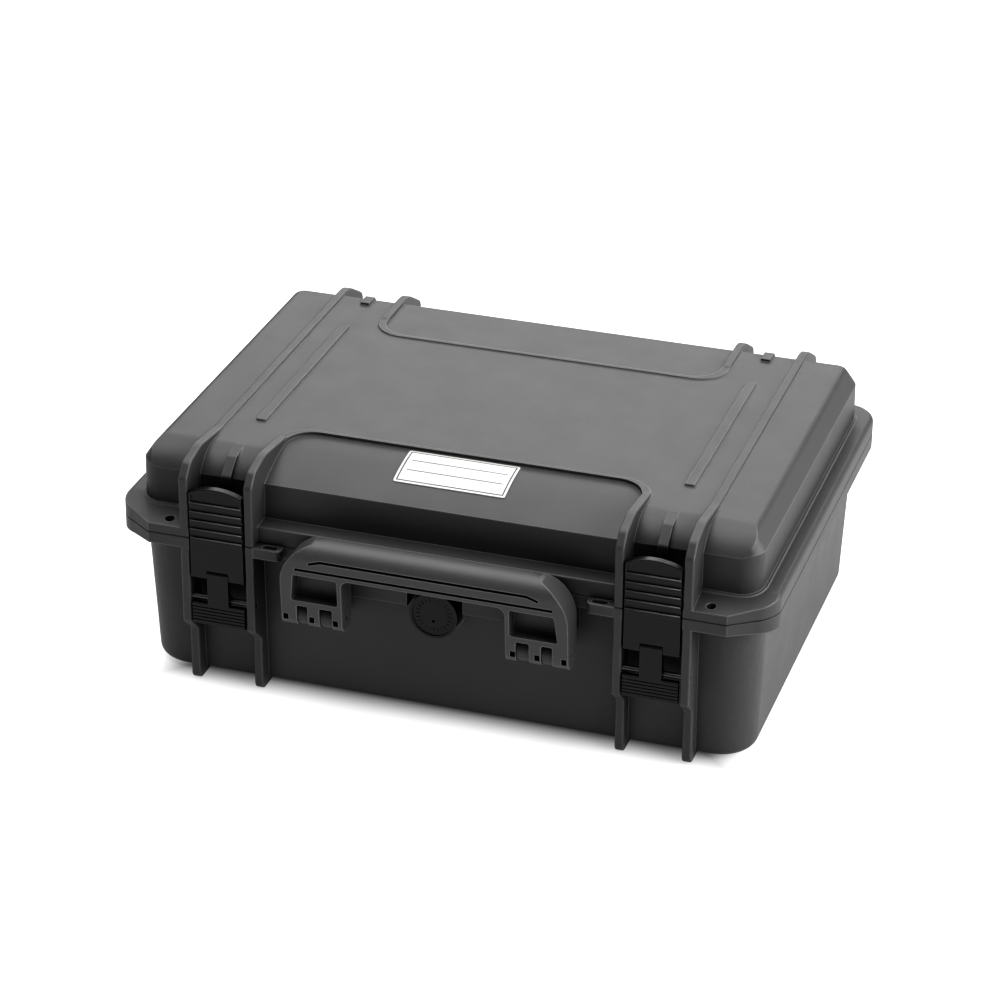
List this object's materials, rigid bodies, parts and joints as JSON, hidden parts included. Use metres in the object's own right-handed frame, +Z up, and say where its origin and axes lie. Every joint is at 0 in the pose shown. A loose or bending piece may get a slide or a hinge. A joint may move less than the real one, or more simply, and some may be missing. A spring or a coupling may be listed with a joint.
{
  "type": "waterproof hard case",
  "caption": "Waterproof hard case with a hinged ribbed lid, draw latches, a folding carry handle, a pressure valve, strap eyelets and padlock holes.",
  "frame": {"origin": "on the floor under the middle of the whole footprint, handle and hinges included", "axes": "+X to the right along the width, +Y to the rear where the hinges are, +Z up"},
  "size_m": [0.464, 0.366, 0.1748],
  "materials": {
    "case_plastic": "fine moulded texture, matt",
    "latch_plastic": "satin",
    "pin_steel": "bright",
    "seal_rubber": "matt",
    "membrane": "matt",
    "label_film": "satin"
  },
  "bodies": {
    "base": {"base_shell": "case_plastic", "hinge_pin_left": "pin_steel", "hinge_pin_right": "pin_steel", "latch_left_base_pin": "pin_steel", "latch_right_base_pin": "pin_steel", "handle_pin_left": "pin_steel", "handle_pin_right": "pin_steel", "valve_body": "case_plastic", "valve_cap": "case_plastic", "valve_seal_ring": "seal_rubber", "valve_nut": "latch_plastic", "valve_membrane": "membrane"},
    "lid": {"lid_shell": "case_plastic", "lid_gasket": "seal_rubber", "name_label": "label_film"},
    "handle": {"carry_handle": "case_plastic"},
    "latch_left_lower": {"latch_left_link": "latch_plastic", "latch_left_link_pin": "pin_steel"},
    "latch_left_upper": {"latch_left_plate": "latch_plastic"},
    "latch_right_lower": {"latch_right_link": "latch_plastic", "latch_right_link_pin": "pin_steel"},
    "latch_right_upper": {"latch_right_plate": "latch_plastic"}
  },
  "joints": [
    {"name": "lid_hinge", "type": "hinge", "parent": "base", "child": "lid", "pos_m": [0, 0.176, 0.1174], "axis": [-1, 0, 0], "range_deg": [0, 105]},
    {"name": "handle_swing", "type": "hinge", "parent": "base", "child": "handle", "pos_m": [0, -0.171, 0.0787], "axis": [1, 0, 0], "range_deg": [0, 100]},
    {"name": "latch_left_swing", "type": "hinge", "parent": "base", "child": "latch_left_lower", "pos_m": [-0.1532, -0.1618, 0.0715], "axis": [1, 0, 0], "range_deg": [0, 55]},
    {"name": "latch_left_lift", "type": "hinge", "parent": "latch_left_lower", "child": "latch_left_upper", "pos_m": [-0.1532, -0.1639, 0.0912], "axis": [1, 0, 0], "range_deg": [0, 90]},
    {"name": "latch_right_swing", "type": "hinge", "parent": "base", "child": "latch_right_lower", "pos_m": [0.1532, -0.1618, 0.0715], "axis": [1, 0, 0], "range_deg": [0, 55]},
    {"name": "latch_right_lift", "type": "hinge", "parent": "latch_right_lower", "child": "latch_right_upper", "pos_m": [0.1532, -0.1639, 0.0912], "axis": [1, 0, 0], "range_deg": [0, 90]}
  ]
}
